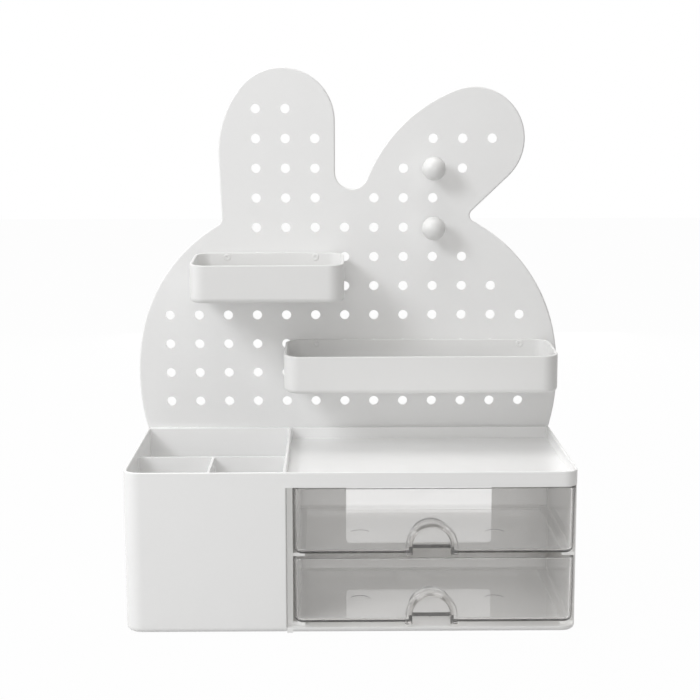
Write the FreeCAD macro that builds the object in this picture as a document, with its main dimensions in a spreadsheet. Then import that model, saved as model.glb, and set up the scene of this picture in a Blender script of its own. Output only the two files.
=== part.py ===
import FreeCAD, Part
import math
import os
import types
import Sketcher

# Desk organizer: a pen cup and a top tray in one moulding, a drawer frame with two clear
# drawers under the tray, and a pegboard behind them that carries two hanging trays and
# two ball knobs.
# Frame: X to the right, Y to the back, Z up. The origin is at the middle of the whole
# object's width and depth, on the surface that the feet stand on.

# Lengths in millimetres
SIZES = {
    # Base: outside of the pen cup, tray and drawer frame together
    "base_width": 306.1,
    "base_depth": 148.9,
    "base_height": 111.3,
    "base_back_corner": 3.0,
    "rim_round": 0.6,
    "inner_corner": 1.5,
    # Pen cup
    "cup_width": 109.7,
    "cup_wall": 2.0,
    "cup_back_wall": 3.0,
    "cup_floor": 3.0,
    "cup_front_corner": 12.0,
    "cup_side_edge": 1.0,
    "cup_bottom_round": 3.5,
    "cup_divider": 1.6,
    "cup_divider_drop": 6.0,
    "cup_left_cell": 52.9,
    "cup_rear_cell": 71.4,
    # Top tray
    "tray_recess": 8.5,
    "deck_floor": 1.9,
    "deck_rim": 2.0,
    "deck_front_corner": 10.0,
    # Drawer frame
    "frame_gap": 2.7,
    "frame_seam": 0.1,
    "frame_side_inset": 0.2,
    "frame_wall": 1.4,
    "frame_wall_setback": 5.0,
    "frame_back_wall": 2.0,
    "frame_floor": 3.6,
    "frame_bottom_round": 3.0,
    "ledge_width": 8.4,
    "ledge_thickness": 2.4,
    "ledge_setback": 6.0,
    "rail_height": 2.3,
    "stop_wall": 1.8,
    "stop_wall_inset": 26.3,
    "window_left_margin": 37.1,
    "window_right_margin": 44.1,
    "window_sill": 22.0,
    "window_top_bar": 5.0,
    "window_corner": 3.0,
    "rear_opening_margin": 3.0,
    "rear_opening_drop": 8.0,
    # Drawers
    "drawer_side_gap": 0.3,
    "drawer_top_gap": 0.9,
    "drawer_rear_gap": 0.8,
    "slide_gap": 0.2,
    "drawer_wall": 2.2,
    "drawer_corner": 6.5,
    "drawer_bottom_round": 4.0,
    "drawer_rim_round": 0.5,
    "pull_offset": 1.6,
    "pull_radius": 12.9,
    "pull_rim": 4.9,
    "pull_rim_proud": 1.6,
    "pull_rim_round": 1.2,
    "pull_depth": 15.0,
    "pull_wall": 2.3,
    "pull_axis_height": 5.9,
    "floor_mark_diameter": 13.6,
    "floor_mark_depth": 0.4,
    "floor_mark_spacing": 94.8,
    "floor_mark_row": 48.6,
    "gate_mark_diameter": 2.6,
    "gate_mark_height": 0.8,
    # Pegboard: heights of its outline are measured from the lowest row of holes
    "board_gap": 0.2,
    "board_thickness": 3.0,
    "board_front_round": 1.2,
    "board_back_round": 0.5,
    "board_overhang": 5.65,
    "board_below_rim": 41.8,
    "board_bottom_corner": 4.0,
    "lowest_row_above_rim": 20.2,
    "peg_pitch": 22.0,
    "peg_hole_diameter": 7.0,
    "peg_hole_land": 4.0,
    "peg_column_offset": 2.75,
    "body_centre_height": 21.6,
    "shoulder_radius": 121.3,
    "left_ear_offset": 49.3,
    "left_ear_height": 210.8,
    "left_ear_radius": 39.5,
    "left_ear_side_radius": 77.2,
    "left_notch_radius": 6.3,
    "right_ear_offset": 93.1,
    "right_ear_height": 197.7,
    "right_ear_radius": 38.4,
    "right_ear_back_radius": 116.0,
    "right_notch_radius": 4.9,
    "valley_radius": 12.3,
    # Brackets that hold the board's lower edge
    "bracket_width": 30.0,
    "bracket_inset": 26.0,
    "bracket_gap": 0.3,
    "bracket_seat_gap": 0.2,
    "bracket_plate": 2.4,
    "bracket_foot_plate": 3.0,
    "bracket_cover": 28.0,
    "bracket_shelf": 4.0,
    "bracket_foot": 24.0,
    "bracket_screw_spacing": 18.0,
    "bracket_screw_drop": 15.0,
    "bracket_round": 1.0,
    "rib_width": 6.0,
    "rib_height": 10.0,
    "rib_round": 1.0,
    "rib_gap": 0.3,
    # Screws and the bosses that take them
    "screw_diameter": 3.0,
    "screw_length": 9.0,
    "screw_head_diameter": 5.6,
    "screw_head_height": 2.0,
    "screw_head_edge": 0.5,
    "screw_point": 0.6,
    "screw_slot_width": 0.9,
    "screw_slot_length": 3.4,
    "screw_slot_depth": 1.1,
    "screw_fit_gap": 0.05,
    "screw_passage_gap": 0.2,
    "screw_seat_gap": 0.4,
    "screw_seat_depth": 2.2,
    "pilot_depth": 8.0,
    "boss_end": 0.8,
    "boss_wall": 2.0,
    "lug_width": 12.0,
    "lug_height": 12.0,
    "deck_screw_drop": 6.5,
    "deck_screw_inset": 24.0,
    "side_screw_drop": 26.0,
    "side_screw_inset": 30.0,
    # Hanging trays
    "short_tray_width": 111.0,
    "short_tray_shift": 1.2,
    "long_tray_width": 199.0,
    "tray_depth": 60.0,
    "tray_height": 31.2,
    "tray_rim_fall": 4.1,
    "tray_rim_above_pegs": 3.4,
    "tray_wall": 2.0,
    "tray_corner": 12.0,
    "tray_bottom_round": 3.6,
    "tray_rim_round": 0.5,
    "tray_gap": 0.3,
    # Pegs, push pins and knobs
    "peg_fit_gap": 0.05,
    "peg_reach": 2.0,
    "peg_nose": 0.6,
    "peg_end_margin": 20.0,
    "pin_diameter": 4.0,
    "pin_fit_gap": 0.02,
    "pin_head_diameter": 5.2,
    "pin_head_height": 0.6,
    "pin_head_edge": 0.3,
    "pin_dimple_diameter": 1.6,
    "pin_dimple_depth": 0.3,
    "pin_nose": 0.4,
    "knob_diameter": 17.4,
    "knob_standoff": 12.0,
    "knob_collar_diameter": 9.0,
    "knob_slot_width": 1.2,
    "knob_slot_length": 4.5,
    # Feet
    "foot_diameter": 14.0,
    "foot_thickness": 1.4,
    "foot_proud": 0.8,
    "foot_fit_gap": 0.1,
    "foot_inset": 18.0,
    "foot_edge": 0.3,
    # How far a cutting shape runs past what it cuts
    "overrun": 2.0,
}

# Angles in degrees. Those of the board's outline are counted from +X towards +Z.
ANGLES = {
    "drawer_draft_angle": 0.7,
    "shoulder_angle": 12.1,
    "left_ear_side_angle": 142.6,
    "left_ear_lean_angle": 2.3,
    "right_ear_side_angle": -46.5,
    "right_ear_back_angle": 111.6,
}

# Peg holes as (row from the bottom, first column, how many), with column 6 in the middle
PEG_HOLE_RUNS = [
    (0, 0, 13), (1, 0, 13), (2, 0, 13), (3, 0, 13),
    (4, 1, 11), (5, 2, 9), (6, 3, 7),
    (7, 3, 3), (7, 7, 3),
    (8, 3, 3), (8, 8, 3),
    (9, 3, 3), (9, 9, 3),
    (10, 3, 2),
]
MIDDLE_COLUMN = 6

# Where the accessories hang: rows from the bottom. The short tray starts at the first hole
# of its row, the long one ends at the last hole of its row.
SHORT_TRAY_ROW = 5
LONG_TRAY_ROW = 2
KNOB_COLUMN = 9
UPPER_KNOB_ROW = 8
LOWER_KNOB_ROW = 6

# How close two places lie when they count as the same
NEAR = 0.005

PLANE_NORMAL_SIGN = {"XY_Plane": 1, "XZ_Plane": -1, "YZ_Plane": 1}
X_AXIS, Y_AXIS, Z_AXIS = 0, 1, 2

os.makedirs("parts", exist_ok=True)
doc = FreeCAD.newDocument("desk_organizer")
Vector = FreeCAD.Vector
sub_parts = []


class Length:
    """A size that keeps both its number and the sum of sheet cells that it comes from."""

    def __init__(self, value, text):
        self.value = value
        self.text = text

    def joined(self, other, sign, result):
        return Length(result, f"({self.text} {sign} {other.text})")

    def __add__(self, other):
        other = as_length(other)
        return self.joined(other, "+", self.value + other.value)

    def __sub__(self, other):
        other = as_length(other)
        return self.joined(other, "-", self.value - other.value)

    def __mul__(self, other):
        other = as_length(other)
        return self.joined(other, "*", self.value * other.value)

    def __truediv__(self, other):
        other = as_length(other)
        return self.joined(other, "/", self.value / other.value)

    def __neg__(self):
        return Length(-self.value, f"(0 - {self.text})")


def as_length(value):
    """A plain number or a Length, as a Length."""
    if isinstance(value, Length):
        return value
    return Length(float(value), str(float(value)))


def make_sheet():
    """Put every driving size into a sheet and return them as Lengths."""
    sheet = doc.addObject("Spreadsheet::Sheet", "Sizes")
    found = {}
    for row, (name, value) in enumerate({**SIZES, **ANGLES}.items(), start=1):
        sheet.set(f"A{row}", name)
        sheet.set(f"B{row}", str(value))
        sheet.setAlias(f"B{row}", name)
        found[name] = Length(float(value), f"Sizes.{name}")
    doc.recompute()
    return types.SimpleNamespace(**found)


def bind(thing, name, length):
    """Tie a property to the sheet."""
    thing.setExpression(name, as_length(length).text)


def new_body(name):
    """An empty body whose label is the sub-part's name."""
    body = doc.addObject("PartDesign::Body", name)
    body.Label = name
    return body


def place(thing, x, y, z, turn=None):
    """Set where a sub-part stands, tied to the sheet."""
    if turn is not None:
        thing.Placement = FreeCAD.Placement(Vector(), turn)
    for axis, length in zip("xyz", (x, y, z)):
        bind(thing, f"Placement.Base.{axis}", length)


def keep(thing):
    """Count a finished object among the sub-parts."""
    sub_parts.append(thing)


# Sketches


def new_sketch(body, label, role, position):
    """A sketch parallel to one of the body's own planes, at a position across it."""
    plane = [item for item in body.Origin.OriginFeatures if item.Role == role][0]
    sketch = body.newObject("Sketcher::SketchObject", label)
    sketch.AttachmentSupport = [(plane, "")]
    sketch.MapMode = "FlatFace"
    offset = as_length(position)
    if PLANE_NORMAL_SIGN[role] < 0:
        offset = -offset
    bind(sketch, "AttachmentOffset.Base.z", offset)
    return sketch


def constrain(sketch, kind, *args):
    """Add a constraint, the last value a Length that it is tied to."""
    length = as_length(args[-1])
    index = sketch.addConstraint(Sketcher.Constraint(kind, *args[:-1], length.value))
    bind(sketch, f"Constraints[{index}]", length)


def rounded_rectangle(sketch, left, right, low, high, radii):
    """A rectangle with a radius at each corner, from the low left one round to the high left.

    A radius of None leaves its corner sharp.
    """
    left, right, low, high = [as_length(item) for item in (left, right, low, high)]
    x0, x1, y0, y1 = left.value, right.value, low.value, high.value
    if not isinstance(radii, (list, tuple)):
        radii = [radii] * 4
    r0, r1, r2, r3 = [as_length(item or 0).value for item in radii]
    quarter = math.pi / 2
    lines = [
        ((x0 + r0, y0), (x1 - r1, y0)),
        ((x1, y0 + r1), (x1, y1 - r2)),
        ((x1 - r2, y1), (x0 + r3, y1)),
        ((x0, y1 - r3), (x0, y0 + r0)),
    ]
    centres = [(x1 - r1, y0 + r1), (x1 - r2, y1 - r2), (x0 + r3, y1 - r3), (x0 + r0, y0 + r0)]
    geometry, sides, arcs = [], [], {}
    for turn, (start, end), centre in zip(range(4), lines, centres):
        sides.append(len(geometry))
        geometry.append(Part.LineSegment(Vector(*start, 0), Vector(*end, 0)))
        radius = radii[(turn + 1) % 4]
        if radius is not None:
            arcs[len(geometry)] = radius
            circle = Part.Circle(Vector(*centre, 0), Vector(0, 0, 1), as_length(radius).value)
            first = quarter * (turn - 1)
            geometry.append(Part.ArcOfCircle(circle, first, first + quarter))
    sketch.addGeometry(geometry, False)
    count = len(geometry)
    for index in range(count):
        after = (index + 1) % count
        kind = "Tangent" if index in arcs or after in arcs else "Coincident"
        sketch.addConstraint(Sketcher.Constraint(kind, index, 2, after, 1))
    for index, kind in zip(sides, ("Horizontal", "Vertical", "Horizontal", "Vertical")):
        sketch.addConstraint(Sketcher.Constraint(kind, index))
    for index, radius in arcs.items():
        constrain(sketch, "Radius", index, radius)
    for index, kind, length in ((sides[3], "DistanceX", left), (sides[1], "DistanceX", right),
                                (sides[0], "DistanceY", low), (sides[2], "DistanceY", high)):
        constrain(sketch, kind, -1, 1, index, 1, length)


def circles(sketch, centres, diameter):
    """Equal circles at the given places."""
    radius = as_length(diameter) / 2
    for across, along in centres:
        across, along = as_length(across), as_length(along)
        centre = Vector(across.value, along.value, 0)
        index = sketch.addGeometry(Part.Circle(centre, Vector(0, 0, 1), radius.value), False)
        constrain(sketch, "Radius", index, radius)
        constrain(sketch, "DistanceX", -1, 1, index, 3, across)
        constrain(sketch, "DistanceY", -1, 1, index, 3, along)


def polygon(sketch, points):
    """A closed run of straight lines, each corner tied to the sheet."""
    points = [(as_length(across), as_length(along)) for across, along in points]
    count = len(points)
    spots = [Vector(across.value, along.value, 0) for across, along in points]
    lines = [Part.LineSegment(spots[i], spots[(i + 1) % count]) for i in range(count)]
    sketch.addGeometry(lines, False)
    for index, (across, along) in enumerate(points):
        before = (index - 1) % count
        sketch.addConstraint(Sketcher.Constraint("Coincident", before, 2, index, 1))
        constrain(sketch, "DistanceX", -1, 1, index, 1, across)
        constrain(sketch, "DistanceY", -1, 1, index, 1, along)


def arch(sketch, middle, radius, axis_height, bottom):
    """A half circle on two straight legs, closed along the bottom."""
    middle, radius, axis_height, bottom = [
        as_length(item) for item in (middle, radius, axis_height, bottom)]
    top, low = axis_height.value, bottom.value
    left, right = middle.value - radius.value, middle.value + radius.value
    circle = Part.Circle(Vector(middle.value, top, 0), Vector(0, 0, 1), radius.value)
    sketch.addGeometry([
        Part.ArcOfCircle(circle, 0, math.pi),
        Part.LineSegment(Vector(left, top, 0), Vector(left, low, 0)),
        Part.LineSegment(Vector(left, low, 0), Vector(right, low, 0)),
        Part.LineSegment(Vector(right, low, 0), Vector(right, top, 0)),
    ], False)
    sketch.addConstraint(Sketcher.Constraint("Tangent", 0, 2, 1, 1))
    sketch.addConstraint(Sketcher.Constraint("Coincident", 1, 2, 2, 1))
    sketch.addConstraint(Sketcher.Constraint("Coincident", 2, 2, 3, 1))
    sketch.addConstraint(Sketcher.Constraint("Tangent", 3, 2, 0, 1))
    sketch.addConstraint(Sketcher.Constraint("Vertical", 1))
    sketch.addConstraint(Sketcher.Constraint("Horizontal", 2))
    constrain(sketch, "Radius", 0, radius)
    constrain(sketch, "DistanceX", -1, 1, 0, 3, middle)
    constrain(sketch, "DistanceY", -1, 1, 0, 3, axis_height)
    constrain(sketch, "DistanceY", -1, 1, 2, 1, bottom)


# Features


def pad(body, sketch, length, label, backwards=False):
    """Add material from a sketch, along its plane's normal or backwards."""
    feature = body.newObject("PartDesign::Pad", label)
    feature.Profile = sketch
    feature.Reversed = backwards
    bind(feature, "Length", length)
    doc.recompute()
    return feature


def pocket(body, sketch, length, label, backwards=False):
    """Cut a sketch into the body against its plane's normal, or along it."""
    before = body.Shape.Volume
    feature = body.newObject("PartDesign::Pocket", label)
    feature.Profile = sketch
    feature.Reversed = backwards
    bind(feature, "Length", length)
    doc.recompute()
    if not body.Shape.Volume < before:
        raise RuntimeError(f"{body.Label}: {label} cuts nothing")
    return feature


def turned(body, label, points):
    """A solid of revolution about the body's Z axis, from (radius, height) corners."""
    sketch = new_sketch(body, f"{label}_profile", "XZ_Plane", 0)
    polygon(sketch, points)
    feature = body.newObject("PartDesign::Revolution", label)
    feature.Profile = sketch
    feature.ReferenceAxis = (sketch, ["V_Axis"])
    doc.recompute()
    return feature


def edge_points(edge):
    """The two ends and the middle of an edge."""
    first, last = edge.FirstParameter, edge.LastParameter
    return [edge.valueAt(first), edge.valueAt((first + last) / 2), edge.valueAt(last)]


def lies_at(edge, axis, length):
    """Whether the whole edge lies at one place along an axis."""
    value = as_length(length).value
    return all(abs(point[axis] - value) < NEAR for point in edge_points(edge))


def round_edges(body, rule, radius, label):
    """Fillet the edges of the body that the rule picks."""
    base = body.Tip
    names = [f"Edge{i}" for i, edge in enumerate(base.Shape.Edges, start=1) if rule(edge)]
    if not names:
        raise RuntimeError(f"{body.Label}: {label} finds no edge")
    feature = body.newObject("PartDesign::Fillet", label)
    feature.Base = (base, names)
    bind(feature, "Radius", radius)
    doc.recompute()
    return feature


def draft_walls(body, block, label):
    """Lean the side and rear walls of a block inwards towards its bottom."""
    faces = {}
    for index, face in enumerate(block.Shape.Faces, start=1):
        normal = face.normalAt(0, 0)
        faces[tuple(round(part) for part in normal)] = f"Face{index}"
    feature = body.newObject("PartDesign::Draft", label)
    feature.Base = (block, [faces[-1, 0, 0], faces[1, 0, 0], faces[0, 1, 0]])
    feature.NeutralPlane = (block, [faces[0, 0, 1]])
    feature.Reversed = True
    bind(feature, "Angle", size.drawer_draft_angle)
    doc.recompute()


def hollow(body, wall, top, label):
    """Take the inside out through the top face, leaving walls of one thickness."""
    base = body.Tip
    height = as_length(top).value
    names = [f"Face{index}" for index, face in enumerate(base.Shape.Faces, start=1)
             if all(lies_at(edge, Z_AXIS, height) for edge in face.Edges)]
    feature = body.newObject("PartDesign::Thickness", label)
    feature.Base = (base, names)
    feature.Reversed = True
    bind(feature, "Value", wall)
    doc.recompute()


def is_upright(edge):
    """Whether an edge runs up or down rather than across."""
    first, middle, last = edge_points(edge)
    return abs(last.z - first.z) > abs(last.x - first.x) + abs(last.y - first.y)


def box(body, label, left, right, low, high, bottom, height, corner):
    """A block with upright corners of one radius."""
    sketch = new_sketch(body, f"{label}_plan", "XY_Plane", bottom)
    rounded_rectangle(sketch, left, right, low, high, corner)
    return pad(body, sketch, height, label)


size = make_sheet()

# Places that several pieces share

base_left = -size.base_width / 2
base_right = size.base_width / 2
whole_depth = (size.pull_rim_proud + size.base_depth + size.board_gap + size.board_thickness
               + size.bracket_gap + size.bracket_plate)
front = size.pull_rim_proud - whole_depth / 2
back = front + size.base_depth
board_front = back + size.board_gap
bottom = size.foot_proud
rim_top = bottom + size.base_height
deck_under = rim_top - size.tray_recess - size.deck_floor
cup_right = base_left + size.cup_width

frame_left = cup_right + size.frame_gap
frame_right = base_right - size.frame_side_inset
bay_left = frame_left + size.frame_wall
bay_right = frame_right - size.frame_wall
bay_middle = (bay_left + bay_right) / 2
bay_back = back - size.frame_back_wall
floor_top = bottom + size.frame_floor

drawer_height = (deck_under - floor_top - size.rail_height - size.ledge_thickness
                 - size.drawer_top_gap - size.slide_gap * 3) / 2
lower_drawer_bottom = floor_top + size.rail_height + size.slide_gap
ledge_bottom = lower_drawer_bottom + drawer_height + size.slide_gap
upper_drawer_bottom = ledge_bottom + size.ledge_thickness + size.slide_gap
drawer_width = bay_right - bay_left - size.drawer_side_gap * 2
bay_depth = size.base_depth - size.stop_wall_inset
drawer_length = bay_depth - size.drawer_rear_gap

lowest_row = rim_top + size.lowest_row_above_rim
board_bottom = rim_top - size.board_below_rim
body_radius = size.base_width / 2 + size.board_overhang

boss_diameter = size.screw_diameter + size.boss_wall * 2
pilot_diameter = size.screw_diameter + size.screw_fit_gap * 2
passage_diameter = size.screw_diameter + size.screw_passage_gap * 2
seat_diameter = size.screw_head_diameter + size.screw_seat_gap * 2
peg_diameter = size.peg_hole_diameter - size.peg_fit_gap * 2
boss_reach = size.pilot_depth + size.boss_end

deck_screw_columns = (frame_left + size.deck_screw_inset, frame_right - size.deck_screw_inset)
deck_screw_height = deck_under - size.deck_screw_drop
side_screw_rows = (front + size.side_screw_inset, back - size.side_screw_inset)
side_screw_height = deck_under - size.side_screw_drop
foot_rows = (front + size.foot_inset, back - size.foot_inset)
left_foot_column = base_left + size.foot_inset
right_foot_column = base_right - size.foot_inset


def column_place(column):
    """Where a column of peg holes is, from the object's middle."""
    return size.peg_pitch * (column - MIDDLE_COLUMN) - size.peg_column_offset


def row_height(row):
    """How high a row of peg holes is."""
    return lowest_row + size.peg_pitch * row


# Board outline: circles joined by tangent arcs and lines, worked out from the sheet


def polar(centre, radius, degrees):
    """The point at an angle on a circle."""
    turn = math.radians(degrees)
    return Vector(centre.x + radius * math.cos(turn), centre.y + radius * math.sin(turn), 0)


def heading(start, end):
    """The direction from one point to another, in degrees."""
    return math.degrees(math.atan2(end.y - start.y, end.x - start.x))


def offset_line_meets_circle(point, direction, centre, radius):
    """The first place where a line meets a circle."""
    across = point - centre
    along = across.dot(direction)
    reach = along * along - across.dot(across) + radius * radius
    return point - direction * (along + math.sqrt(reach))


def board_outline(low_height):
    """The outline as arcs (centre, radius, first angle, last angle), anticlockwise.

    A concave arc has its last angle below its first. Straight lines join the arcs' ends.
    """
    row = lowest_row.value
    body = Vector(0, row + size.body_centre_height.value, 0)
    shoulder_angle = size.shoulder_angle.value
    shoulder_radius = size.shoulder_radius.value
    right_shoulder = polar(body, body_radius.value - shoulder_radius, shoulder_angle)
    left_shoulder = Vector(-right_shoulder.x, right_shoulder.y, 0)

    left_ear = Vector(-size.left_ear_offset.value, row + size.left_ear_height.value, 0)
    left_radius = size.left_ear_radius.value
    side_radius = size.left_ear_side_radius.value
    side_angle = size.left_ear_side_angle.value
    side = polar(left_ear, left_radius - side_radius, side_angle)
    lean = 180 + size.left_ear_lean_angle.value
    side_end = polar(side, side_radius, lean)
    outward = polar(Vector(), 1, lean)
    downward = Vector(-outward.y, outward.x, 0)
    left_notch_radius = size.left_notch_radius.value
    left_notch = offset_line_meets_circle(
        side_end + outward * left_notch_radius, downward, left_shoulder,
        shoulder_radius + left_notch_radius)

    right_ear = Vector(size.right_ear_offset.value, row + size.right_ear_height.value, 0)
    right_radius = size.right_ear_radius.value
    back_radius = size.right_ear_back_radius.value
    back_angle = size.right_ear_back_angle.value
    ear_back = polar(right_ear, right_radius - back_radius, back_angle)
    low_angle = size.right_ear_side_angle.value
    low_end = polar(right_ear, right_radius, low_angle)
    outward_low = polar(Vector(), 1, low_angle)
    inward_low = Vector(outward_low.y, -outward_low.x, 0)
    right_notch_radius = size.right_notch_radius.value
    right_notch = offset_line_meets_circle(
        low_end + outward_low * right_notch_radius, inward_low, right_shoulder,
        shoulder_radius + right_notch_radius)

    valley_radius = size.valley_radius.value
    valley_x = left_ear.x + left_radius + valley_radius
    reach = back_radius + valley_radius
    rise = math.sqrt(reach ** 2 - (ear_back.x - valley_x) ** 2)
    valley = Vector(valley_x, ear_back.y + rise, 0)

    corner = size.board_bottom_corner.value
    low = low_height.value
    corner_rise = low + corner - body.y
    corner_x = math.sqrt((body_radius.value - corner) ** 2 - corner_rise ** 2)
    right_corner = Vector(corner_x, low + corner, 0)
    left_corner = Vector(-corner_x, low + corner, 0)

    right_meet = heading(right_shoulder, right_notch)
    left_meet = heading(left_shoulder, left_notch)
    back_meet = heading(ear_back, valley)
    low_meet = heading(body, right_corner)
    return [
        (right_corner, corner, -90, low_meet),
        (body, body_radius.value, low_meet, shoulder_angle),
        (right_shoulder, shoulder_radius, shoulder_angle, right_meet),
        (right_notch, right_notch_radius, right_meet + 180, low_angle + 180),
        (right_ear, right_radius, low_angle, back_angle),
        (ear_back, back_radius, back_angle, back_meet),
        (valley, valley_radius, back_meet + 180, 180),
        (left_ear, left_radius, 0, side_angle),
        (side, side_radius, side_angle, lean),
        (left_notch, left_notch_radius, lean - 180, left_meet - 180),
        (left_shoulder, shoulder_radius, left_meet, 180 - shoulder_angle),
        (body, body_radius.value, 180 - shoulder_angle, 180 - low_meet),
        (left_corner, corner, 180 - low_meet, 270),
    ]


def outline_edges(arcs):
    """The outline's arcs and the lines between them, as sketch geometry."""
    geometry = []
    for index, (centre, radius, first, last) in enumerate(arcs):
        start, middle, end = [polar(centre, radius, angle)
                              for angle in (first, (first + last) / 2, last)]
        geometry.append(Part.Arc(start, middle, end))
        after = arcs[(index + 1) % len(arcs)]
        following = polar(after[0], after[1], after[2])
        if end.distanceToPoint(following) > NEAR:
            geometry.append(Part.LineSegment(end, following))
    return geometry


def peg_hole_spots():
    """The (row, column) of each peg hole that leaves enough material at the board's edge."""
    outline = Part.Wire([edge.toShape() for edge in outline_edges(board_outline(board_bottom))])
    face = Part.Face(outline)
    land = size.peg_hole_diameter.value / 2 + size.peg_hole_land.value
    spots = []
    for row, first, count in PEG_HOLE_RUNS:
        for column in range(first, first + count):
            centre = Vector(column_place(column).value, row_height(row).value, 0)
            spot = Part.Vertex(centre)
            inside = face.distToShape(spot)[0] < NEAR
            if inside and face.OuterWire.distToShape(spot)[0] > land:
                spots.append((row, column))
    return spots


def columns_in(row):
    """The columns that have a hole in a row of the board."""
    return [column for spot_row, column in board_holes if spot_row == row]


def peg_steps(width):
    """How many hole pitches lie between the two pegs of a tray."""
    between = width.value - size.peg_end_margin.value * 2
    return math.floor(between / size.peg_pitch.value)


board_holes = peg_hole_spots()
short_tray_first = min(columns_in(SHORT_TRAY_ROW))
short_tray_columns = (short_tray_first, short_tray_first + peg_steps(size.short_tray_width))
long_tray_last = max(columns_in(LONG_TRAY_ROW))
long_tray_columns = (long_tray_last - peg_steps(size.long_tray_width), long_tray_last)


# Sub-parts


def add_bosses(body, label, role, face, centres, diameter, reach, backwards=False):
    """Round bosses that stand on a face inside a wall."""
    sketch = new_sketch(body, f"{label}_circles", role, face)
    circles(sketch, centres, diameter)
    pad(body, sketch, reach, label, backwards)


def add_holes(body, label, role, face, centres, diameter, depth, backwards=False):
    """Round holes that start at a face."""
    sketch = new_sketch(body, f"{label}_circles", role, face)
    circles(sketch, centres, diameter)
    pocket(body, sketch, depth, label, backwards)


def foot_recesses(body, column):
    """The two shallow round seats under one side of the base."""
    centres = [(column, row) for row in foot_rows]
    diameter = size.foot_diameter + size.foot_fit_gap * 2
    depth = size.foot_thickness - size.foot_proud
    add_holes(body, "foot_recesses", "XY_Plane", bottom, centres, diameter, depth, True)


bracket_offset = size.base_width / 2 - size.bracket_inset
bracket_screw_height = board_bottom - size.bracket_screw_drop


def bracket_screw_spots(side):
    """The two screws of the bracket on one side: -1 left, 1 right."""
    middle = bracket_offset * side
    half = size.bracket_screw_spacing / 2
    return [(middle - half, bracket_screw_height), (middle + half, bracket_screw_height)]


def make_shell():
    """The pen cup with its dividers and the top tray, in one moulding."""
    body = new_body("cup_and_tray_shell")
    box(body, "cup_block", base_left, cup_right, front, back, bottom, size.base_height,
        [size.cup_front_corner, None, None, size.base_back_corner])
    round_edges(body, lambda edge: lies_at(edge, Z_AXIS, bottom)
                and not lies_at(edge, X_AXIS, cup_right), size.cup_bottom_round, "cup_bottom_edge")
    round_edges(body, lambda edge: lies_at(edge, X_AXIS, cup_right)
                and not lies_at(edge, Z_AXIS, rim_top), size.cup_side_edge, "cup_side_edge")
    box(body, "deck_block", cup_right - size.cup_wall, base_right, front, back, deck_under,
        size.tray_recess + size.deck_floor,
        [None, size.deck_front_corner, size.base_back_corner, None])

    inside_left = base_left + size.cup_wall
    inside_right = cup_right - size.cup_wall
    inside_front = front + size.cup_wall
    inside_back = back - size.cup_back_wall
    inner = size.inner_corner
    cup_corner = size.cup_front_corner - size.cup_wall
    sketch = new_sketch(body, "cup_mouth_plan", "XY_Plane", rim_top)
    rounded_rectangle(sketch, inside_left, inside_right, inside_front, inside_back,
                      [cup_corner, inner, inner, inner])
    pocket(body, sketch, size.cup_divider_drop, "cup_mouth")

    rear_front = inside_back - size.cup_rear_cell
    front_back = rear_front - size.cup_divider
    left_right = inside_left + size.cup_left_cell
    right_left = left_right + size.cup_divider
    divider_top = rim_top - size.cup_divider_drop
    cell_depth = divider_top - bottom - size.cup_floor
    cells = {
        "front_left_cell": (inside_left, left_right, inside_front, front_back, cup_corner),
        "front_right_cell": (right_left, inside_right, inside_front, front_back, inner),
        "rear_cell": (inside_left, inside_right, rear_front, inside_back, inner),
    }
    for label, (left, right, low, high, corner) in cells.items():
        sketch = new_sketch(body, f"{label}_plan", "XY_Plane", divider_top)
        rounded_rectangle(sketch, left, right, low, high, [corner, inner, inner, inner])
        pocket(body, sketch, cell_depth, label)

    sketch = new_sketch(body, "tray_plan", "XY_Plane", rim_top)
    rounded_rectangle(sketch, cup_right, base_right - size.deck_rim, front + size.deck_rim,
                      inside_back, [inner, size.deck_front_corner - size.deck_rim, inner, inner])
    pocket(body, sketch, size.tray_recess, "tray_recess")
    round_edges(body, lambda edge: lies_at(edge, Z_AXIS, rim_top), size.rim_round, "rim_edge")

    lug_back = bay_back - size.screw_seat_depth
    for side, column in zip(("left", "right"), deck_screw_columns):
        half = size.lug_width / 2
        sketch = new_sketch(body, f"{side}_lug_plan", "XY_Plane", deck_under)
        rounded_rectangle(sketch, column - half, column + half, lug_back - boss_reach, lug_back,
                          size.inner_corner)
        pad(body, sketch, size.lug_height, f"{side}_lug", True)
    add_holes(body, "lug_pilots", "XZ_Plane", lug_back,
              [(column, deck_screw_height) for column in deck_screw_columns],
              pilot_diameter, size.pilot_depth, True)

    side_spots = [(row, side_screw_height) for row in side_screw_rows]
    add_bosses(body, "side_bosses", "YZ_Plane", inside_right, side_spots, boss_diameter,
               boss_reach - size.cup_wall, True)
    add_holes(body, "side_pilots", "YZ_Plane", cup_right, side_spots, pilot_diameter,
              size.pilot_depth)
    bracket_spots = bracket_screw_spots(-1)
    add_bosses(body, "bracket_bosses", "XZ_Plane", inside_back, bracket_spots, boss_diameter,
               boss_reach - size.cup_back_wall)
    add_holes(body, "bracket_pilots", "XZ_Plane", back, bracket_spots, pilot_diameter,
              size.pilot_depth, True)
    foot_recesses(body, left_foot_column)
    keep(body)


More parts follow.
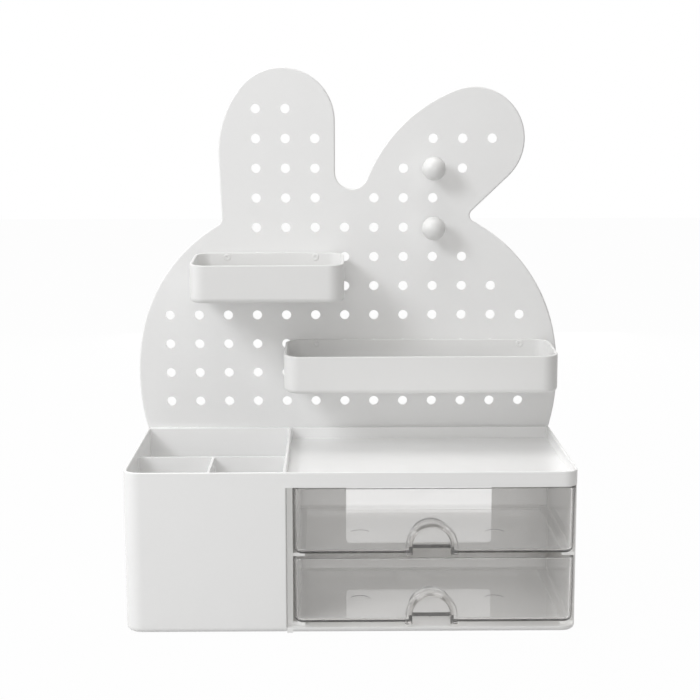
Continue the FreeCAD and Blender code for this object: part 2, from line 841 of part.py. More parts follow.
def make_frame():
    """The drawer frame: floor, side walls, ledges and rails, and two walls with windows.

    The drawers end at the stop wall. The left wall and the flange that closes the gap beside
    the pen cup stand a little behind the front.
    """
    body = new_body("drawer_frame")
    corner = size.deck_front_corner - size.frame_side_inset
    box(body, "frame_block", frame_left, frame_right, front, back, bottom, deck_under - bottom,
        [None, corner, size.base_back_corner, None])
    round_edges(body, lambda edge: lies_at(edge, Z_AXIS, bottom)
                and not lies_at(edge, X_AXIS, frame_left), size.frame_bottom_round,
                "frame_bottom_edge")
    sketch = new_sketch(body, "bay_plan", "XY_Plane", deck_under)
    rounded_rectangle(sketch, bay_left, bay_right, front - size.overrun, bay_back,
                      size.inner_corner)
    pocket(body, sketch, deck_under - floor_top, "bay")
    wall_front = front + size.frame_wall_setback
    sketch = new_sketch(body, "left_wall_front_plan", "XY_Plane", deck_under + size.overrun)
    rounded_rectangle(sketch, frame_left - size.overrun, bay_left + size.overrun,
                      front - size.overrun, wall_front, None)
    pocket(body, sketch, deck_under + size.overrun - floor_top, "left_wall_front")
    flange_left = cup_right + size.frame_seam
    into_wall = size.frame_wall / 2
    box(body, "gap_flange", flange_left, frame_left + into_wall, wall_front,
        wall_front + size.frame_wall, bottom, deck_under - bottom, None)
    box(body, "seam_strip", flange_left, bay_left, front, back, bottom, size.frame_floor, None)

    stop_front = front + bay_depth
    into_floor = size.frame_floor / 2
    box(body, "stop_wall", bay_left - into_wall, bay_right + into_wall, stop_front,
        stop_front + size.stop_wall, floor_top - into_floor, deck_under - floor_top + into_floor,
        None)
    ledge_front = front + size.ledge_setback
    into_stop = stop_front + size.stop_wall / 2
    runs = {
        "left": (bay_left - into_wall, bay_left + size.ledge_width),
        "right": (bay_right - size.ledge_width, bay_right + into_wall),
    }
    for side, (left, right) in runs.items():
        box(body, f"{side}_ledge", left, right, ledge_front, into_stop, ledge_bottom,
            size.ledge_thickness, None)
        box(body, f"{side}_rail", left, right, ledge_front, into_stop, floor_top,
            size.rail_height, None)

    window_left = bay_left + size.window_left_margin
    window_right = bay_right - size.window_right_margin
    window_low = floor_top + size.window_sill
    window_top = deck_under - size.window_top_bar
    sketch = new_sketch(body, "window_outline", "XZ_Plane", stop_front - size.overrun)
    rounded_rectangle(sketch, window_left, window_right, window_low, window_top,
                      size.window_corner)
    pocket(body, sketch, size.stop_wall + size.overrun * 2, "window")
    margin = size.rear_opening_margin
    sketch = new_sketch(body, "rear_opening_outline", "XZ_Plane", bay_back - size.overrun)
    rounded_rectangle(sketch, window_left - margin, window_right + margin,
                      window_low - size.rear_opening_drop, window_top, size.window_corner)
    pocket(body, sketch, size.frame_back_wall + size.overrun * 2, "rear_opening")

    deck_spots = [(column, deck_screw_height) for column in deck_screw_columns]
    seat_boss = seat_diameter + size.boss_wall * 2
    add_bosses(body, "deck_seats", "XZ_Plane", bay_back, deck_spots, seat_boss,
               size.screw_seat_depth)
    add_holes(body, "deck_screw_seats", "XZ_Plane", back, deck_spots, seat_diameter,
              size.screw_seat_depth, True)
    add_holes(body, "deck_screw_passages", "XZ_Plane", back, deck_spots, passage_diameter,
              size.frame_back_wall + size.screw_seat_depth + size.overrun, True)

    side_spots = [(row, side_screw_height) for row in side_screw_rows]
    add_bosses(body, "side_spacers", "YZ_Plane", frame_left, side_spots, seat_boss,
               size.frame_gap, True)
    add_holes(body, "side_screw_seats", "YZ_Plane", bay_left, side_spots, seat_diameter,
              size.screw_seat_depth)
    add_holes(body, "side_screw_passages", "YZ_Plane", bay_left, side_spots, passage_diameter,
              size.frame_wall + size.frame_gap + size.overrun)
    bracket_spots = bracket_screw_spots(1)
    add_bosses(body, "bracket_bosses", "XZ_Plane", bay_back, bracket_spots, boss_diameter,
               boss_reach - size.frame_back_wall)
    add_holes(body, "bracket_pilots", "XZ_Plane", back, bracket_spots, pilot_diameter,
              size.pilot_depth, True)
    foot_recesses(body, right_foot_column)
    keep(body)


def make_board():
    """The pegboard: an outline with two ears, a grid of holes and two slots at the bottom."""
    body = new_body("pegboard")
    sketch = new_sketch(body, "board_face", "XZ_Plane", board_front)
    sketch.addGeometry(outline_edges(board_outline(board_bottom)), False)
    hole_radius = size.peg_hole_diameter.value / 2
    for row, column in board_holes:
        centre = Vector(column_place(column).value, row_height(row).value, 0)
        index = sketch.addGeometry(Part.Circle(centre, Vector(0, 0, 1), hole_radius), False)
        constrain(sketch, "Radius", index, size.peg_hole_diameter / 2)
    pad(body, sketch, size.board_thickness, "board_plate", True)

    def is_outline(edge):
        ring = edge.Curve.TypeId == "Part::GeomCircle" and edge.Curve.Radius < hole_radius + NEAR
        return not ring

    board_back = board_front + size.board_thickness
    round_edges(body, lambda edge: lies_at(edge, Y_AXIS, board_front) and is_outline(edge),
                size.board_front_round, "front_edge")
    round_edges(body, lambda edge: lies_at(edge, Y_AXIS, board_back) and is_outline(edge),
                size.board_back_round, "back_edge")
    half = size.rib_width / 2 + size.rib_gap
    for side, name in ((-1, "left"), (1, "right")):
        middle = bracket_offset * side
        sketch = new_sketch(body, f"{name}_slot_outline", "XZ_Plane", board_front - size.overrun)
        rounded_rectangle(sketch, middle - half, middle + half, board_bottom - size.overrun,
                          board_bottom + size.rib_height + size.rib_gap, size.rib_gap * 2)
        pocket(body, sketch, size.board_thickness + size.overrun * 2, f"{name}_slot")
    keep(body)


def make_bracket(name, side):
    """A hooked bracket on the base's back: the board's lower edge drops in behind it."""
    body = new_body(name)
    half = size.bracket_width / 2
    plate_front = size.board_gap + size.board_thickness + size.bracket_gap
    plate_back = plate_front + size.bracket_plate
    foot = size.bracket_foot_plate
    sketch = new_sketch(body, "side_view", "YZ_Plane", -half)
    polygon(sketch, [
        (0, -size.bracket_foot),
        (foot, -size.bracket_foot),
        (foot, -size.bracket_shelf * 2),
        (plate_back, -size.bracket_shelf),
        (plate_back, size.bracket_cover),
        (plate_front, size.bracket_cover),
        (plate_front, -size.bracket_seat_gap),
        (0, -size.bracket_seat_gap),
    ])
    pad(body, sketch, size.bracket_width, "hook")
    round_edges(body, lambda edge: lies_at(edge, Z_AXIS, size.bracket_cover)
                and lies_at(edge, Y_AXIS, plate_front), size.bracket_round, "lead_in")
    for outer in (-half, half):
        round_edges(body, lambda edge: lies_at(edge, X_AXIS, outer)
                    and lies_at(edge, Y_AXIS, plate_back), size.bracket_round,
                    "left_side" if outer.value < 0 else "right_side")
    rib = size.rib_width / 2
    box(body, "rib", -rib, rib, 0, plate_front + size.bracket_plate / 2,
        -size.bracket_seat_gap * 2, size.rib_height + size.bracket_seat_gap * 2,
        size.rib_round)
    spread = size.bracket_screw_spacing / 2
    add_holes(body, "screw_passages", "XZ_Plane", -size.overrun,
              [(-spread, -size.bracket_screw_drop), (spread, -size.bracket_screw_drop)],
              passage_diameter, size.bracket_foot_plate + size.overrun * 2)
    place(body, bracket_offset * side, back, board_bottom)
    keep(body)


def make_drawer(name, drawer_bottom):
    """A clear drawer: drafted walls, rounded corners and a half-round finger recess."""
    body = new_body(name)
    half = drawer_width / 2
    block = box(body, "outside", -half, half, 0, drawer_length, 0, drawer_height, None)
    draft_walls(body, block, "wall_draft")
    round_edges(body, is_upright, size.drawer_corner, "upright_edge")
    round_edges(body, lambda edge: lies_at(edge, Z_AXIS, 0), size.drawer_bottom_round,
                "bottom_edge")
    hollow(body, size.drawer_wall, drawer_height, "inside")
    round_edges(body, lambda edge: lies_at(edge, Z_AXIS, drawer_height),
                size.drawer_rim_round, "rim_edge")

    pull_middle = -size.pull_offset
    sketch = new_sketch(body, "pull_rim_outline", "XZ_Plane", -size.pull_rim_proud)
    arch(sketch, pull_middle, size.pull_radius + size.pull_rim, size.pull_axis_height, 0)
    pad(body, sketch, size.pull_rim_proud + size.drawer_wall, "pull_rim", True)
    sketch = new_sketch(body, "pull_tunnel_outline", "XZ_Plane", 0)
    arch(sketch, pull_middle, size.pull_radius + size.pull_wall, size.pull_axis_height, 0)
    pad(body, sketch, size.pull_depth + size.pull_wall, "pull_tunnel", True)
    sketch = new_sketch(body, "pull_inside", "XZ_Plane", -size.pull_rim_proud - size.overrun)
    arch(sketch, pull_middle, size.pull_radius, size.pull_axis_height, -size.overrun)
    pocket(body, sketch, size.overrun + size.pull_rim_proud + size.pull_depth, "finger_recess")
    round_edges(body, lambda edge: lies_at(edge, Y_AXIS, -size.pull_rim_proud)
                and not lies_at(edge, Z_AXIS, 0), size.pull_rim_round, "pull_edge")
    add_bosses(body, "gate_mark", "XZ_Plane", size.pull_depth,
               [(pull_middle, size.gate_mark_diameter / 2)], size.gate_mark_diameter,
               size.gate_mark_height)
    spread = size.floor_mark_spacing / 2
    row = size.floor_mark_row
    add_holes(body, "floor_marks", "XY_Plane", size.drawer_wall,
              [(pull_middle - spread, row), (pull_middle + spread, row)],
              size.floor_mark_diameter, size.floor_mark_depth)
    place(body, bay_middle, front, drawer_bottom)
    keep(body)


def make_hanging_tray(name, width, shift, columns, row):
    """A shallow tray with a falling rim and two hollow pegs at its back.

    Its middle lies by the shift to the left of the middle between its pegs.
    """
    body = new_body(name)
    half = width / 2
    tray_back = -size.tray_gap
    tray_front = tray_back - size.tray_depth
    top = size.tray_rim_above_pegs
    low = top - size.tray_height
    wall = size.tray_wall
    box(body, "outside", -half, half, tray_front, tray_back, low, size.tray_height,
        size.tray_corner)
    round_edges(body, lambda edge: lies_at(edge, Z_AXIS, low), size.tray_bottom_round,
                "bottom_edge")
    sketch = new_sketch(body, "inside_plan", "XY_Plane", top)
    rounded_rectangle(sketch, wall - half, half - wall, tray_front + wall, tray_back - wall,
                      size.tray_corner - wall)
    pocket(body, sketch, size.tray_height - wall, "inside")
    round_edges(body, lambda edge: lies_at(edge, Z_AXIS, low + wall),
                size.tray_bottom_round - wall, "inside_edge")
    sketch = new_sketch(body, "rim_fall_side", "YZ_Plane", half + size.overrun)
    polygon(sketch, [
        (tray_back, top),
        (tray_back, top + size.overrun),
        (tray_front - size.overrun, top + size.overrun),
        (tray_front - size.overrun, top - size.tray_rim_fall),
        (tray_front, top - size.tray_rim_fall),
    ])
    pocket(body, sketch, width + size.overrun * 2, "rim_fall")

    slope = size.tray_rim_fall.value / size.tray_depth.value
    back_value, top_value = tray_back.value, top.value

    def on_rim(edge):
        return all(abs(point.z - top_value - (point.y - back_value) * slope) < NEAR
                   for point in edge_points(edge))

    round_edges(body, on_rim, size.tray_rim_round, "rim_edge")

    span = size.peg_pitch * (columns[1] - columns[0]) / 2
    spots = [(as_length(shift) - span, 0), (as_length(shift) + span, 0)]
    peg_tip = size.board_thickness + size.peg_reach
    add_bosses(body, "pegs", "XZ_Plane", tray_back - wall / 2, spots, peg_diameter,
               wall / 2 + size.tray_gap + peg_tip, True)
    peg_radius = peg_diameter.value / 2
    round_edges(body, lambda edge: lies_at(edge, Y_AXIS, peg_tip)
                and abs(edge.Curve.Radius - peg_radius) < NEAR, size.peg_nose, "peg_noses")
    add_holes(body, "peg_bores", "XZ_Plane", tray_back - wall - size.overrun, spots,
              size.pin_diameter, size.overrun * 2 + wall + size.tray_gap + peg_tip)
    pegs_middle = (column_place(columns[0]) + column_place(columns[1])) / 2
    place(body, pegs_middle - shift, board_front, row_height(row))
    keep(body)


facing_front = FreeCAD.Rotation(Vector(1, 0, 0), 90)
facing_back = FreeCAD.Rotation(Vector(1, 0, 0), -90)
facing_right = FreeCAD.Rotation(Vector(0, 1, 0), 90)


def make_push_pin(name, column, row):
    """A round-headed pin that fills a tray's hollow peg."""
    body = new_body(name)
    head = size.pin_head_diameter / 2
    shank = size.pin_diameter / 2 - size.pin_fit_gap
    dimple = size.pin_dimple_diameter / 2
    tip = -(size.tray_wall + size.tray_gap + size.board_thickness + size.peg_reach)
    turned(body, "pin", [
        (0, size.pin_head_height - size.pin_dimple_depth),
        (dimple, size.pin_head_height - size.pin_dimple_depth),
        (dimple + size.pin_head_edge, size.pin_head_height),
        (head - size.pin_head_edge, size.pin_head_height),
        (head, size.pin_head_height - size.pin_head_edge),
        (head, 0),
        (shank, 0),
        (shank, tip + size.pin_nose),
        (shank - size.pin_nose, tip),
        (0, tip),
    ])
    place(body, column_place(column), board_front - size.tray_gap - size.tray_wall,
          row_height(row), facing_front)
    keep(body)


def make_knob(name, column, row):
    """A ball on a short collar, with a slit peg that pushes into a hole of the board."""
    stand = size.knob_standoff
    tip = stand + size.board_thickness + size.peg_reach
    ball = doc.addObject("Part::Sphere", f"{name}_ball")
    bind(ball, "Radius", size.knob_diameter / 2)
    collar = doc.addObject("Part::Cylinder", f"{name}_collar")
    bind(collar, "Radius", size.knob_collar_diameter / 2)
    bind(collar, "Height", stand - size.tray_gap)
    bind(collar, "Placement.Base.z", size.tray_gap - stand)
    peg = doc.addObject("Part::Cylinder", f"{name}_peg")
    bind(peg, "Radius", peg_diameter / 2)
    bind(peg, "Height", tip - size.peg_nose)
    bind(peg, "Placement.Base.z", size.peg_nose - tip)
    nose = doc.addObject("Part::Cone", f"{name}_nose")
    bind(nose, "Radius1", peg_diameter / 2 - size.peg_nose)
    bind(nose, "Radius2", peg_diameter / 2)
    bind(nose, "Height", size.peg_nose)
    bind(nose, "Placement.Base.z", -tip)
    whole = doc.addObject("Part::MultiFuse", f"{name}_whole")
    whole.Shapes = [ball, collar, peg, nose]
    slot = doc.addObject("Part::Box", f"{name}_slot")
    bind(slot, "Length", size.knob_slot_width)
    bind(slot, "Width", size.peg_hole_diameter)
    bind(slot, "Height", size.knob_slot_length + size.overrun)
    bind(slot, "Placement.Base.x", -size.knob_slot_width / 2)
    bind(slot, "Placement.Base.y", -size.peg_hole_diameter / 2)
    bind(slot, "Placement.Base.z", -tip - size.overrun)
    knob = doc.addObject("Part::Cut", name)
    knob.Base = whole
    knob.Tool = slot
    knob.Label = name
    place(knob, column_place(column), board_front - stand, row_height(row), facing_front)
    doc.recompute()
    keep(knob)


def make_screw(name, x, y, z, turn):
    """A pan-head screw: its seat is at the origin and its head stands along +Z."""
    body = new_body(name)
    head = size.screw_head_diameter / 2
    shank = size.screw_diameter / 2
    turned(body, "screw", [
        (0, size.screw_head_height),
        (head - size.screw_head_edge * 2, size.screw_head_height),
        (head, size.screw_head_height - size.screw_head_edge * 2),
        (head, 0),
        (shank, 0),
        (shank, size.screw_point * 2 - size.screw_length),
        (shank - size.screw_point, -size.screw_length),
        (0, -size.screw_length),
    ])
    long, wide = size.screw_slot_length / 2, size.screw_slot_width / 2
    for label, across, along in (("first_slot", long, wide), ("second_slot", wide, long)):
        sketch = new_sketch(body, f"{label}_outline", "XY_Plane", size.screw_head_height)
        rounded_rectangle(sketch, -across, across, -along, along, wide / 2)
        pocket(body, sketch, size.screw_slot_depth, label)
    place(body, x, y, z, turn)
    keep(body)


def make_foot(name, column, row):
    """A round anti-slip pad in its seat under the base."""
    body = new_body(name)
    sketch = new_sketch(body, "pad_plan", "XY_Plane", 0)
    circles(sketch, [(0, 0)], size.foot_diameter)
    pad(body, sketch, size.foot_thickness, "pad")
    round_edges(body, lambda edge: lies_at(edge, Z_AXIS, 0), size.foot_edge, "pad_edge")
    place(body, column, row, 0)
    keep(body)


make_shell()
make_frame()
make_board()
make_drawer("upper_drawer", upper_drawer_bottom)
make_drawer("lower_drawer", lower_drawer_bottom)
make_hanging_tray("short_hanging_tray", size.short_tray_width, size.short_tray_shift,
                  short_tray_columns, SHORT_TRAY_ROW)
make_hanging_tray("long_hanging_tray", size.long_tray_width, 0, long_tray_columns, LONG_TRAY_ROW)
for tray, columns, row in (("short_tray", short_tray_columns, SHORT_TRAY_ROW),
                           ("long_tray", long_tray_columns, LONG_TRAY_ROW)):
    for side, column in zip(("left", "right"), columns):
        make_push_pin(f"{tray}_{side}_pin", column, row)
make_knob("upper_knob", KNOB_COLUMN, UPPER_KNOB_ROW)
make_knob("lower_knob", KNOB_COLUMN, LOWER_KNOB_ROW)
for side, sign in (("left", -1), ("right", 1)):
    make_bracket(f"{side}_board_bracket", sign)
    foot_plate_back = back + size.bracket_foot_plate
    for number, (x, z) in zip(("left", "right"), bracket_screw_spots(sign)):
        make_screw(f"{side}_bracket_{number}_screw", x, foot_plate_back, z, facing_back)
for side, column in zip(("left", "right"), deck_screw_columns):
    make_screw(f"{side}_deck_screw", column, back - size.screw_seat_depth, deck_screw_height,
               facing_back)
for side, row in zip(("front", "rear"), side_screw_rows):
    make_screw(f"{side}_side_screw", bay_left - size.screw_seat_depth, row, side_screw_height,
               facing_right)
for side, column in (("left", left_foot_column), ("right", right_foot_column)):
    for end, row in zip(("front", "rear"), foot_rows):
        make_foot(f"{end}_{side}_foot", column, row)

doc.recompute()
for item in doc.Objects:
    if "Invalid" in item.State or "Error" in item.State:
        raise RuntimeError(f"{item.Label} is {item.State}")
for item in sub_parts:
    if item.Shape.isNull() or not item.Shape.isValid():
        raise RuntimeError(f"{item.Label} has no valid shape")
for item in sub_parts:
    item.Shape.exportStep(f"parts/{item.Label}.step")
    extent = item.Shape.BoundBox
    print(f"{item.Label}: {len(item.Shape.Solids)} solid, {item.Shape.Volume:.0f} cubic mm, "
          f"x {extent.XMin:.1f} to {extent.XMax:.1f}, y {extent.YMin:.1f} to {extent.YMax:.1f}, "
          f"z {extent.ZMin:.1f} to {extent.ZMax:.1f}")
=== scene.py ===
import functools
import math

import bpy
from mathutils import Matrix, Vector

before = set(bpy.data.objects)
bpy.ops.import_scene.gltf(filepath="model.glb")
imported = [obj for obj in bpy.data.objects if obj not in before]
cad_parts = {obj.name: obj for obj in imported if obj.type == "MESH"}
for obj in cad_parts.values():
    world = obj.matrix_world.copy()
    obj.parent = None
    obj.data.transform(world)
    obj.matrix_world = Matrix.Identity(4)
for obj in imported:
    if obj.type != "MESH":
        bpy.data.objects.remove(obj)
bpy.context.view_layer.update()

# Lengths in metres
MM = 0.001

# Camera, as fitted to the grid of peg holes in the photograph
CAMERA_PLACE = Vector((-10.60, -1055.63, 348.94)) * MM
CAMERA_YAW = 0.01045
CAMERA_PITCH = 0.15615
CAMERA_ROLL = -0.00156
FOCAL_PIXELS = 1505.24
PICTURE_PIXELS = 700
SENSOR_WIDTH = 36.0

# Light levels: a white surface that faces no lamp renders at the ambient level
AMBIENT = 0.31
AMBIENT_TINT = (1.0, 0.975, 0.94)
SHOWN_TINT = (1.0, 1.0, 1.0)
FLOOR_WHITE = 0.50
FLOOR_SHOWN_WHITE = 0.98
FLOOR_SIZE = 4.0

# Rays that show the surroundings: from the camera, from a reflection, through a clear piece
SHOWN_RAYS = ("Is Camera Ray", "Is Glossy Ray", "Is Transmission Ray")

# Lamps: name, place, aim, width, level, colour, and whether reflections and clear pieces show it
BOARD_MIDDLE = (0.0, 0.07, 0.24)
BAY_MIDDLE = (0.05, 0.0, 0.06)
COOL_LIGHT = (0.97, 0.983, 1.0)
PLAIN_LIGHT = (1.0, 0.998, 0.992)
LAMPS = (
    ("key", (-0.93, -0.82, 1.02), BOARD_MIDDLE, 0.50, 0.40, COOL_LIGHT, True),
    ("left_fill", (-1.9, 0.0, 0.5), BOARD_MIDDLE, 1.4, 0.24, PLAIN_LIGHT, True),
    ("top", (-0.25, -0.05, 1.7), BOARD_MIDDLE, 1.2, 0.58, PLAIN_LIGHT, True),
    ("front_fill", (0.1, -2.0, 0.15), BAY_MIDDLE, 1.2, 0.22, PLAIN_LIGHT, True),
    ("rear_fill", (0.05, 1.3, 0.25), BAY_MIDDLE, 0.8, 0.60, PLAIN_LIGHT, False),
)

# Bounces of light: enough for the white insides and for the walls of both drawers
BOUNCES = {
    "max_bounces": 24,
    "diffuse_bounces": 10,
    "transmission_bounces": 16,
    "transparent_max_bounces": 32,
}

# Plastic colours, linear
WHITE = (0.91, 0.91, 0.908)
BRIGHT_WHITE = (0.93, 0.93, 0.925)
BOARD_WHITE = (0.835, 0.835, 0.833)
WARM_WHITE = (0.78, 0.779, 0.774)

# How strongly light bends in all the plastics
PLASTIC_IOR = 1.5

# Moulded white: each pattern's spots per metre, and how far tone and roughness stray
CLOUD_SPOTS = 14.0
SPECK_SPOTS = 420.0
GRAIN_SPOTS = 2600.0
WAVE_SPOTS = 11.0
ROUGH_SPOTS = 55.0
CLOUD_SHARE = 0.6
TONE_SPREAD = 0.015
ROUGHNESS_SPREAD = 0.10
GRAIN_STRENGTH = 0.5
WAVE_STRENGTH = 0.6
FINE_GRAIN = 0.000004
COARSE_GRAIN = 0.000006

# Clear plastic: its waves, its skin, its tint, and how little of it is hazy
CLEAR_WAVE_SPOTS = 16.0
CLEAR_WAVE_DEPTH = 0.00006
CLEAR_WAVE_STRENGTH = 0.3
CLEAR_ROUGH_SPOTS = 70.0
CLEAR_ROUGHNESS = 0.002
CLEAR_ROUGHNESS_SPREAD = 0.02
CLEAR_SHARE = 0.91
CLEAR_BODY = (1.0, 1.0, 1.0)
PASSED_LIGHT = (0.98, 0.98, 0.98)
SMOKE_TINT = (0.53, 0.50, 0.465)
SMOKE_DENSITY = 42.0

# Zinc plating
TURNING_SPOTS = 1800.0
ZINC_TONE_SPOTS = 300.0
ZINC_DARK = (0.55, 0.55, 0.56)
ZINC_PALE = (0.68, 0.68, 0.67)
ZINC_ROUGHNESS = 0.22
ZINC_ROUGHNESS_SPREAD = 0.2
TURNING_DEPTH = 0.00001
TURNING_STRENGTH = 0.5

# Rubber
PIT_SPOTS = 1500.0
RUBBER_TONE_SPOTS = 120.0
RUBBER_DARK = (0.030, 0.030, 0.032)
RUBBER_PALE = (0.050, 0.050, 0.052)
RUBBER_ROUGHNESS = 0.65
RUBBER_ROUGHNESS_SPREAD = 0.2
PIT_DEPTH = 0.00003
PIT_STRENGTH = 0.6


class Socket:
    """One output of a node, which can be used in sums as a number can."""

    def __init__(self, finish, output):
        self.finish = finish
        self.output = output

    def maths(self, operation, other):
        return self.finish.node("ShaderNodeMath", {"operation": operation}, {0: self, 1: other})

    def __add__(self, other):
        return self.maths("ADD", other)

    def __mul__(self, other):
        return self.maths("MULTIPLY", other)

    def maximum(self, other):
        return self.maths("MAXIMUM", other)


class Finish:
    """A material or the world, with its tree of nodes."""

    def __init__(self, owner):
        owner.use_nodes = True
        self.owner = owner
        self.tree = owner.node_tree
        self.tree.nodes.clear()

    def node(self, kind, settings=None, values=None, output=0):
        """Add a node: its settings first, then the values or links of its sockets."""
        made = self.tree.nodes.new(kind)
        for name, value in (settings or {}).items():
            setattr(made, name, value)
        for name, value in (values or {}).items():
            self.feed(made.inputs[name], value)
        return Socket(self, made.outputs[output]) if made.outputs else None

    def feed(self, socket, value):
        """Link a socket to another, or give it a value of its own."""
        if isinstance(value, Socket):
            self.tree.links.new(value.output, socket)
        elif isinstance(value, tuple) and len(value) == 3 and len(socket.default_value) == 4:
            socket.default_value = (*value, 1.0)
        else:
            socket.default_value = value

    def mixed(self, factor, first, second):
        """A colour between two others."""
        return self.node("ShaderNodeMix", {"data_type": "RGBA"},
                         {"Factor": factor, 6: first, 7: second}, output=2)

    def noise(self, place, spots, detail, roughness=0.5):
        """Soft irregular values around one half."""
        return self.node("ShaderNodeTexNoise", {}, {
            "Vector": place, "Scale": spots, "Detail": detail, "Roughness": roughness})

    def place(self):
        """Where a point is on the object."""
        return self.node("ShaderNodeTexCoord", output=3)

    def rays(self, *kinds):
        """One where the ray is of one of these kinds, else nought."""
        found = [self.node("ShaderNodeLightPath", output=kind) for kind in kinds]
        return functools.reduce(Socket.maximum, found)

    def bump(self, height, distance, strength, normal=None):
        """Tilt the surface as a relief of that depth does."""
        values = {"Height": height, "Distance": distance, "Strength": strength}
        if normal is not None:
            values["Normal"] = normal
        return self.node("ShaderNodeBump", {}, values)

    def plastic(self, values):
        """A surface that reflects and bends light as plastic does."""
        return self.node("ShaderNodeBsdfPrincipled", {}, {**values, "IOR": PLASTIC_IOR})

    def surface(self, shader, volume=None):
        """Set what the material or the world shows."""
        is_world = isinstance(self.owner, bpy.types.World)
        values = {"Surface": shader}
        if volume is not None:
            values["Volume"] = volume
        self.node("ShaderNodeOutputWorld" if is_world else "ShaderNodeOutputMaterial", {}, values)


def new_finish(name):
    """An empty material."""
    return Finish(bpy.data.materials.new(name))


def shaded(colour, factor):
    """A colour made lighter or darker."""
    return tuple(part * factor for part in colour)


def moulded_white(name, colour, roughness, grain_depth, wave_depth):
    """White moulded plastic: a fine matt grain, slow waves from cooling, faint clouding."""
    finish = new_finish(name)
    place = finish.place()
    clouds = finish.noise(place, CLOUD_SPOTS, 3.0)
    specks = finish.noise(place, SPECK_SPOTS, 1.0)
    tone = finish.mixed(clouds * CLOUD_SHARE + specks * (1.0 - CLOUD_SHARE),
                        shaded(colour, 1.0 - TONE_SPREAD), shaded(colour, 1.0 + TONE_SPREAD))
    grain = finish.noise(place, GRAIN_SPOTS, 2.0, 0.6)
    waves = finish.noise(place, WAVE_SPOTS, 1.0)
    wavy = finish.bump(waves, wave_depth, WAVE_STRENGTH)
    normal = finish.bump(grain, grain_depth, GRAIN_STRENGTH, wavy)
    rough = finish.noise(place, ROUGH_SPOTS, 3.0) * ROUGHNESS_SPREAD \
        + (roughness - ROUGHNESS_SPREAD / 2)
    finish.surface(finish.plastic({"Base Color": tone, "Roughness": rough, "Normal": normal}))
    return finish.owner


def smoky_clear(name):
    """Clear styrene with a light smoke tint, which darkens with the length of the path.

    A small share of its skin is hazy. Light that falls through it onto other pieces passes
    straight.
    """
    finish = new_finish(name)
    place = finish.place()
    waves = finish.noise(place, CLEAR_WAVE_SPOTS, 1.0)
    normal = finish.bump(waves, CLEAR_WAVE_DEPTH, CLEAR_WAVE_STRENGTH)
    rough = finish.noise(place, CLEAR_ROUGH_SPOTS, 3.0) * CLEAR_ROUGHNESS_SPREAD + CLEAR_ROUGHNESS
    shader = finish.plastic({"Base Color": CLEAR_BODY, "Roughness": rough,
                             "Transmission Weight": CLEAR_SHARE, "Normal": normal})
    straight = finish.node("ShaderNodeBsdfTransparent", {}, {"Color": PASSED_LIGHT})
    rays = finish.rays("Is Shadow Ray", "Is Diffuse Ray")
    smoke = finish.node("ShaderNodeVolumeAbsorption", {}, {
        "Color": SMOKE_TINT, "Density": SMOKE_DENSITY})
    finish.surface(finish.node("ShaderNodeMixShader", {}, {0: rays, 1: shader, 2: straight}),
                   smoke)
    return finish.owner


def zinc_plated(name):
    """Bright zinc plating with fine turning marks."""
    finish = new_finish(name)
    place = finish.place()
    marks = finish.noise(place, TURNING_SPOTS, 3.0)
    tone = finish.mixed(finish.noise(place, ZINC_TONE_SPOTS, 2.0), ZINC_DARK, ZINC_PALE)
    finish.surface(finish.node("ShaderNodeBsdfPrincipled", {}, {
        "Base Color": tone, "Metallic": 1.0,
        "Roughness": marks * ZINC_ROUGHNESS_SPREAD + ZINC_ROUGHNESS,
        "Normal": finish.bump(marks, TURNING_DEPTH, TURNING_STRENGTH)}))
    return finish.owner


def soft_rubber(name):
    """Dark grey rubber with a fine pitted skin."""
    finish = new_finish(name)
    place = finish.place()
    pits = finish.noise(place, PIT_SPOTS, 3.0, 0.7)
    tone = finish.mixed(finish.noise(place, RUBBER_TONE_SPOTS, 3.0), RUBBER_DARK, RUBBER_PALE)
    finish.surface(finish.node("ShaderNodeBsdfPrincipled", {}, {
        "Base Color": tone, "Roughness": pits * RUBBER_ROUGHNESS_SPREAD + RUBBER_ROUGHNESS,
        "Normal": finish.bump(pits, PIT_DEPTH, PIT_STRENGTH)}))
    return finish.owner


def dress(finish, *names):
    """Give CAD nodes a finish."""
    for name in names:
        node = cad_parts[name]
        node.data.materials.clear()
        node.data.materials.append(finish)


def named_like(ending):
    """The CAD nodes whose names have this ending."""
    return [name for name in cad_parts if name.endswith(ending)]


def make_floor():
    """A plain white floor that shows almost pure white and keeps a faint shadow."""
    finish = new_finish("floor_white")
    shown = finish.rays(*SHOWN_RAYS) * FLOOR_SHOWN_WHITE
    paint = finish.node("ShaderNodeBsdfDiffuse", {}, {"Color": (FLOOR_WHITE,) * 3})
    glow = finish.node("ShaderNodeEmission", {}, {"Color": SHOWN_TINT, "Strength": 1.0})
    finish.surface(finish.node("ShaderNodeMixShader", {}, {0: shown, 1: paint, 2: glow}))
    corners = [(x, y, 0.0) for x, y in ((-1, -1), (1, -1), (1, 1), (-1, 1))]
    mesh = bpy.data.meshes.new("floor")
    mesh.from_pydata([Vector(corner) * FLOOR_SIZE for corner in corners], [], [(0, 1, 2, 3)])
    mesh.materials.append(finish.owner)
    floor = bpy.data.objects.new("floor", mesh)
    bpy.context.scene.collection.objects.link(floor)


def make_world():
    """Even white surroundings, dimmer and warmer where they light the object."""
    world = bpy.data.worlds.new("surroundings")
    bpy.context.scene.world = world
    finish = Finish(world)
    shown = finish.rays(*SHOWN_RAYS)
    finish.surface(finish.node("ShaderNodeBackground", {}, {
        "Color": finish.mixed(shown, AMBIENT_TINT, SHOWN_TINT),
        "Strength": shown * (1.0 - AMBIENT) + AMBIENT}))


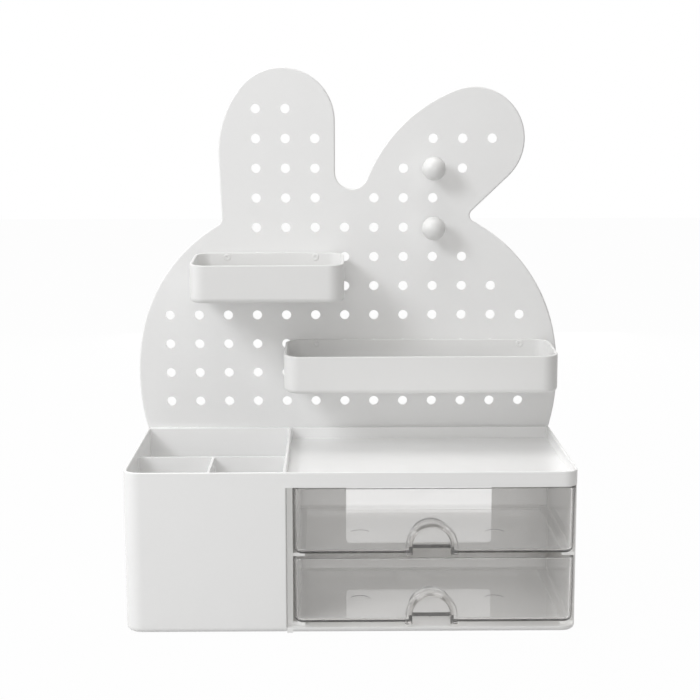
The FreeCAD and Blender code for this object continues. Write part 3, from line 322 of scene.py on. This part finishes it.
def lamp(name, place, aim, width, level, colour, shows):
    """A square lamp. The level is what it adds to a white surface at its aim that faces it."""
    away = Vector(place) - Vector(aim)
    data = bpy.data.lights.new(name, "AREA")
    data.shape = "SQUARE"
    data.size = width
    data.energy = level * math.pi * math.pi * away.length_squared
    data.color = colour
    thing = bpy.data.objects.new(name, data)
    thing.location = place
    thing.rotation_mode = "QUATERNION"
    thing.rotation_quaternion = away.to_track_quat("Z", "Y")
    for kind in ("visible_camera", "visible_glossy", "visible_transmission"):
        setattr(thing, kind, shows)
    bpy.context.scene.collection.objects.link(thing)


def make_camera():
    """The photograph's view: yaw about Z, then pitch down, then roll about the view line."""
    yaw, pitch, roll = CAMERA_YAW, CAMERA_PITCH, CAMERA_ROLL
    ahead = Vector((math.sin(yaw) * math.cos(pitch), math.cos(yaw) * math.cos(pitch),
                    -math.sin(pitch)))
    level_right = Vector((math.cos(yaw), -math.sin(yaw), 0.0))
    level_up = level_right.cross(ahead)
    right = math.cos(roll) * level_right + math.sin(roll) * level_up
    up = math.cos(roll) * level_up - math.sin(roll) * level_right
    data = bpy.data.cameras.new("camera")
    data.sensor_width = SENSOR_WIDTH
    data.lens = SENSOR_WIDTH * FOCAL_PIXELS / PICTURE_PIXELS
    camera = bpy.data.objects.new("camera", data)
    turn = Matrix((right, up, -ahead)).transposed().to_4x4()
    camera.matrix_world = Matrix.Translation(CAMERA_PLACE) @ turn
    bpy.context.scene.collection.objects.link(camera)
    bpy.context.scene.camera = camera


base_white = moulded_white("base_white", WHITE, 0.22, FINE_GRAIN, 0.00010)
frame_white = moulded_white("frame_white", BRIGHT_WHITE, 0.24, FINE_GRAIN, 0.00008)
board_white = moulded_white("board_white", BOARD_WHITE, 0.34, COARSE_GRAIN, 0.00012)
tray_white = moulded_white("tray_white", WARM_WHITE, 0.34, COARSE_GRAIN, 0.00012)

dress(base_white, "cup_and_tray_shell", "left_board_bracket", "right_board_bracket")
dress(frame_white, "drawer_frame")
dress(board_white, "pegboard")
dress(tray_white, *named_like("_hanging_tray"), *named_like("_pin"), *named_like("_knob"))
dress(smoky_clear("smoky_clear"), *named_like("_drawer"))
dress(zinc_plated("zinc_plated"), *named_like("_screw"))
dress(soft_rubber("soft_rubber"), *named_like("_foot"))

make_floor()
make_world()
for row in LAMPS:
    lamp(*row)
make_camera()
for name, count in BOUNCES.items():
    setattr(bpy.context.scene.cycles, name, count)
bpy.context.scene.view_settings.view_transform = "Standard"
